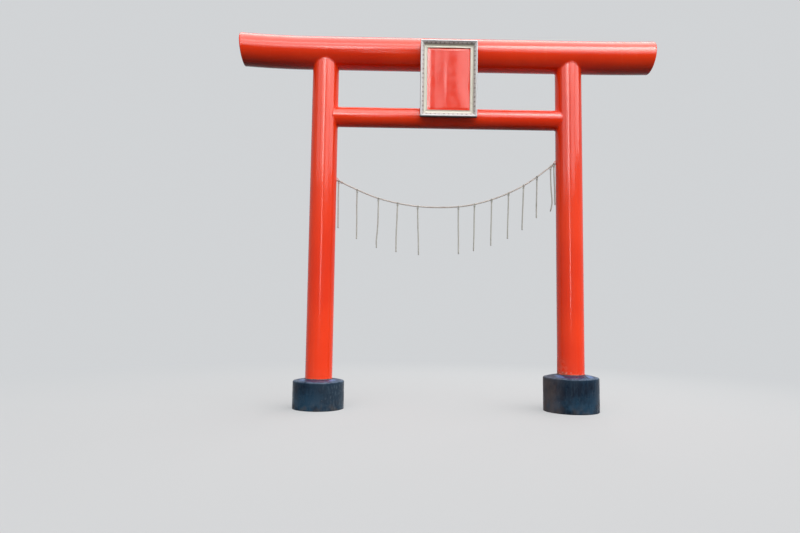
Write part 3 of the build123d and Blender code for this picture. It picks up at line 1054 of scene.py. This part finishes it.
# Carving: leaves in pairs along all four members, placed for a hollow cove. The members' cove
# bulges, so the leaves lie almost wholly under its surface
COVE_MIDDLE = (LIP_W + COVE_END) / 2
COVE_HEAD = FRAME_DEPTH - LIP_W / 2
COVE_SLOPE = math.atan2(COVE_HEAD - COVE_FOOT, COVE_END - LIP_W)
COVE_FLOOR = (COVE_HEAD + COVE_FOOT) / 2 - COVE_SAG * math.cos(COVE_SLOPE)
LEAF_COLUMNS = 9
LEAF_ROWS = 5
LEAF_TAPER = 0.35
LEAF_SWAY = 0.25
LEAF_SWING = math.radians(40)
LEAF_SINK = 0.6 * MM
RIB_HEIGHT = 0.25
RIB_RATE = 9

# A leaf and the curl beside it: shift and length in steps along the member, shift across, width and height
LEAF = (0.17, 0.5, 3 * MM, 4.4 * MM, 4.6 * MM)
CURL = (0.33, 0.26, -4 * MM, 2.8 * MM, 3.4 * MM)


def add_leaf(vertices, faces, centre, along, across, out, length, width, height):
    """Adds a pointed, ribbed leaf round a centre."""
    base = len(vertices)
    for i in range(LEAF_COLUMNS):
        t = i / (LEAF_COLUMNS - 1)
        half = width * math.sin(math.pi * t) ** 0.7 * (1 - LEAF_TAPER * t)
        sway = LEAF_SWAY * width * math.sin(2 * math.pi * t)
        for j in range(LEAF_ROWS):
            s = 2 * j / (LEAF_ROWS - 1) - 1
            rib = 1 + RIB_HEIGHT * math.cos(s * RIB_RATE)
            rise = height * math.sin(math.pi * t) ** 0.6 * (1 - s * s) * rib
            spot = centre + along * (t - 0.5) * length + across * (s * half + sway)
            vertices.append(spot + out * (rise - LEAF_SINK))
    for i in range(LEAF_COLUMNS - 1):
        for j in range(LEAF_ROWS - 1):
            a = base + i * LEAF_ROWS + j
            faces.append((a, a + LEAF_ROWS, a + LEAF_ROWS + 1, a + 1))


def carve_member(name, length, place):
    """Leaves in pairs along a member. place(w, u, v) gives a point w along it, u inward and v out."""
    vertices = []
    faces = []
    clear, count = leaf_steps(length)
    step = clear / count
    zero = place(0, 0, 0)
    along = (place(1, 0, 0) - zero).normalized()
    inward = (place(0, 1, 0) - zero).normalized()
    face_out = (place(0, 0, 1) - zero).normalized()
    across = inward * math.cos(COVE_SLOPE) - face_out * math.sin(COVE_SLOPE)
    out = inward * math.sin(COVE_SLOPE) + face_out * math.cos(COVE_SLOPE)
    for k in range(count + 1):
        w = -clear / 2 + k * step
        for lean in (-1, 1):
            swing = LEAF_SWING * lean
            leaf_along = along * math.cos(swing) + across * math.sin(swing)
            leaf_across = out.cross(leaf_along)
            for shift, reach, off, width, height in (LEAF, CURL):
                centre = place(w + lean * shift * step, COVE_MIDDLE, COVE_FLOOR) + across * lean * off
                add_leaf(vertices, faces, centre, leaf_along, leaf_across, out, reach * step, width, height)
    piece(name, vertices, faces, CARVING)


half_w = PLAQUE_W / 2
half_h = PLAQUE_H / 2
carve_member("bottom_carving", PLAQUE_W, on_plaque)
carve_member("top_carving", PLAQUE_W, lambda w, u, v: on_plaque(-w, PLAQUE_H - u, v))
carve_member("left_carving", PLAQUE_H, lambda w, u, v: on_plaque(-half_w + u, half_h - w, v))
carve_member("right_carving", PLAQUE_H, lambda w, u, v: on_plaque(half_w - u, half_h + w, v))

# Bolts: hexagon heads on washers, two to each bracket pad
BOLT_AF = 13 * MM
BOLT_R = BOLT_AF / math.sqrt(3)
BOLT_SIDES = 6
BOLT_HEAD = 5.5 * MM
BOLT_CHAMFER = 0.8 * MM
BOLT_TURN = math.radians(53.5)
WASHER_R = 9.6 * MM
WASHER_T = 1.6 * MM
WASHER_CHAMFER = 0.3 * MM
WASHER_SIDES = 24
CHAMFER_SLOPE = 1.5
BRACKET_SPACING = 250 * MM
BOLT_OFFSET = 15 * MM
PAD_T = 6 * MM
UPPER_BRACKET_Z = LINTEL_Z - 72 * MM
LOWER_BRACKET_Z = TIE_Z + 36 * MM


def add_prism(vertices, faces, centre, axis, side, radius, depth, count, chamfer):
    """Adds a prism of count sides standing on centre along axis, with a chamfered top."""
    other = axis.cross(side)
    rings = [(0, radius), (depth - chamfer, radius), (depth, radius - chamfer * CHAMFER_SLOPE)]
    base = len(vertices)
    for lift, r in rings:
        for k in range(count):
            turn = 2 * math.pi * k / count
            vertices.append(centre + axis * lift + r * (math.cos(turn) * side + math.sin(turn) * other))
    for ring in range(len(rings) - 1):
        for k in range(count):
            a = base + ring * count + k
            b = base + ring * count + (k + 1) % count
            faces.append((a, b, b + count, a + count))
    last = base + (len(rings) - 1) * count
    faces.append(tuple(last + k for k in range(count)))


def bracket_bolts(name, z):
    """The bolts of the two pads at one height."""
    up = (z - PLAQUE_BOTTOM) / math.cos(PLAQUE_LEAN)
    back = -plaque_out
    vertices = []
    faces = []
    for pad_x in (-BRACKET_SPACING / 2, BRACKET_SPACING / 2):
        for way in (-1, 1):
            seat = on_plaque(pad_x + way * BOLT_OFFSET, up, -PAD_T)
            side = Vector((math.cos(BOLT_TURN), 0, 0)) + plaque_up * math.sin(BOLT_TURN) * way
            add_prism(vertices, faces, seat, back, side, WASHER_R, WASHER_T, WASHER_SIDES, WASHER_CHAMFER)
            top = seat + back * WASHER_T
            add_prism(vertices, faces, top, back, side, BOLT_R, BOLT_HEAD, BOLT_SIDES, BOLT_CHAMFER)
    piece(name, vertices, faces, BOLT, smooth=False)


bracket_bolts("upper_bolts", UPPER_BRACKET_Z)
bracket_bolts("lower_bolts", LOWER_BRACKET_Z)

# Floor and backdrop
BACKDROP = (0.64, 0.655, 0.67)
BLACKNESS = (0, 0, 0)
WHITENESS = (1, 1, 1)
FLOOR_HALF = 60
FLOOR_GLOW = 0.53
FLOOR_ALBEDO = 0.30
FLOOR_BOUNCE = 0.03
FLOOR_ROUGHNESS = 0.9
GLOW_FADE = (1.4, 5.6)


def floor_material():
    """Pale and matt, fading to the backdrop far away, and throwing little light back up."""
    p = Paint("floor")
    seen = p.seen_directly()
    distance = p.node("ShaderNodeVectorMath", operation="LENGTH")
    p.link(p.place, distance.inputs[0])
    away = distance.outputs["Value"]
    glow = p.ramp(away, *GLOW_FADE, FLOOR_GLOW, 1.0)
    p.link(p.product(glow, seen), p.shader.inputs["Emission Strength"])
    p.shader.inputs["Emission Color"].default_value = (*BACKDROP, 1)
    near = p.ramp(away, *GLOW_FADE, 1, 0)
    albedo = p.product(p.ramp(seen, 0, 1, FLOOR_BOUNCE, FLOOR_ALBEDO), near)
    grey = p.mix(albedo, BLACKNESS, WHITENESS)
    return p.finish(grey, FLOOR_ROUGHNESS, Specular_IOR_Level=0)


def make_floor():
    """A square of floor, wide enough to reach the horizon in every view."""
    half = FLOOR_HALF
    corners = [(-half, -half, 0), (half, -half, 0), (half, half, 0), (-half, half, 0)]
    mesh = bpy.data.meshes.new("floor")
    mesh.from_pydata(corners, [], [(0, 1, 2, 3)])
    mesh.materials.append(floor_material())
    floor = bpy.data.objects.new("floor", mesh)
    bpy.context.collection.objects.link(floor)


# Lights
DOME = 3.25
DOME_FILL = 0.02
DOME_BEHIND = 0.16
DOME_TOP = 0.25
DOME_SIDES = (-0.4, 0.5)
DOME_RISE = (0.08, 0.42)
DOME_FALL = (0.55, 0.9)
DOME_AZIMUTH = math.radians(40)


def make_world():
    """A soft dome of light low over the front and right; plain and pale where it is seen."""
    world = bpy.data.worlds.new("world")
    world.use_nodes = True
    sky = Nodes(world.node_tree)
    toward = sky.node("ShaderNodeTexCoord").outputs["Generated"]
    facing = sky.node("ShaderNodeVectorMath", operation="DOT_PRODUCT")
    sky.link(toward, facing.inputs[0])
    facing.inputs[1].default_value = (math.sin(DOME_AZIMUTH), -math.cos(DOME_AZIMUTH), 0)
    height = sky.split(toward)[2]
    side = sky.ramp(facing.outputs["Value"], *DOME_SIDES, DOME_BEHIND, 1)
    band = sky.product(sky.ramp(height, *DOME_RISE), sky.ramp(height, *DOME_FALL, 1, DOME_TOP))
    dome = sky.math("MULTIPLY_ADD", sky.product(side, band), DOME, DOME_FILL)
    background = sky.tree.nodes["Background"]
    seen = sky.seen_directly()
    sky.link(sky.mix(seen, WHITENESS, BACKDROP), background.inputs["Color"])
    sky.link(sky.ramp(seen, 0, 1, dome, 1), background.inputs["Strength"])
    bpy.context.scene.world = world


def softbox(name, place, target, size, radiance, gloss, shape="RECTANGLE"):
    """A flat lamp facing target, which shows only in gloss or only lights; white at radiance 1."""
    width, height = size
    data = bpy.data.lights.new(name, "AREA")
    data.shape = shape
    data.size = width
    data.size_y = height
    data.energy = radiance * math.pi * width * height
    lamp = bpy.data.objects.new(name, data)
    lamp.location = place
    aim = Vector(target) - Vector(place)
    lamp.rotation_euler = aim.to_track_quat("-Z", "Y").to_euler()
    lamp.visible_diffuse = not gloss
    lamp.visible_glossy = gloss
    bpy.context.collection.objects.link(lamp)


make_floor()
make_world()

# Lamps that only light the gate: place, target, size and radiance
LIGHTING = {
    "back_softbox": ((3.5, 7.0, 4.6), (0, 0, 1.7), (5, 3.4), 4.0),
    "low_softbox": ((0.8, -9.0, 1.4), (0, 0, 1.6), (8, 2.6), 1.3),
}
for name, (place, target, size, radiance) in LIGHTING.items():
    softbox(name, place, target, size, radiance, gloss=False)

# Patches of bright sky that only show in the gloss: place, target, size and radiance
SKY = {
    "front_left_gloss": ((-2.4, -9.0, 5.6), (-1.2, 0, 2.4), (5.3, 3.2), 4.4),
    "front_right_gloss": ((4.4, -9.0, 5.6), (1.2, 0, 2.4), (5.8, 3.2), 4.4),
    "sky_gap_gloss": ((-1.45, -8.8, 5.6), (-1.2, 0, 2.4), (1.1, 3.2), 12),
    "high_gloss": ((0.9, -6.4, 8.0), (0, 0, 1.8), (10.8, 5), 5.5),
    "left_gloss": ((-7.4, -6.6, 6.4), (0, 0, 2.4), (5.5, 4.8), 2.5),
    "right_gloss": ((9.2, -4.4, 6.9), (0, 0, 2.4), (7.5, 4.6), 5),
    "zenith_gloss": ((0.3, -1.0, 8.6), (0.3, -0.9, 0), (10, 10), 4.2),
    "gap_gloss": ((-0.8, -9.4, 2.3), (-0.6, 0, 1.9), (0.8, 2.8), 10),
}
for name, (place, target, size, radiance) in SKY.items():
    softbox(name, place, target, size, radiance, gloss=True)
softbox("band_gloss", (3.9, -4.9, 8.3), (1.2, 0, 2.9), (7, 3.6), 7.5, gloss=True, shape="ELLIPSE")

bpy.context.scene.view_settings.view_transform = "Standard"
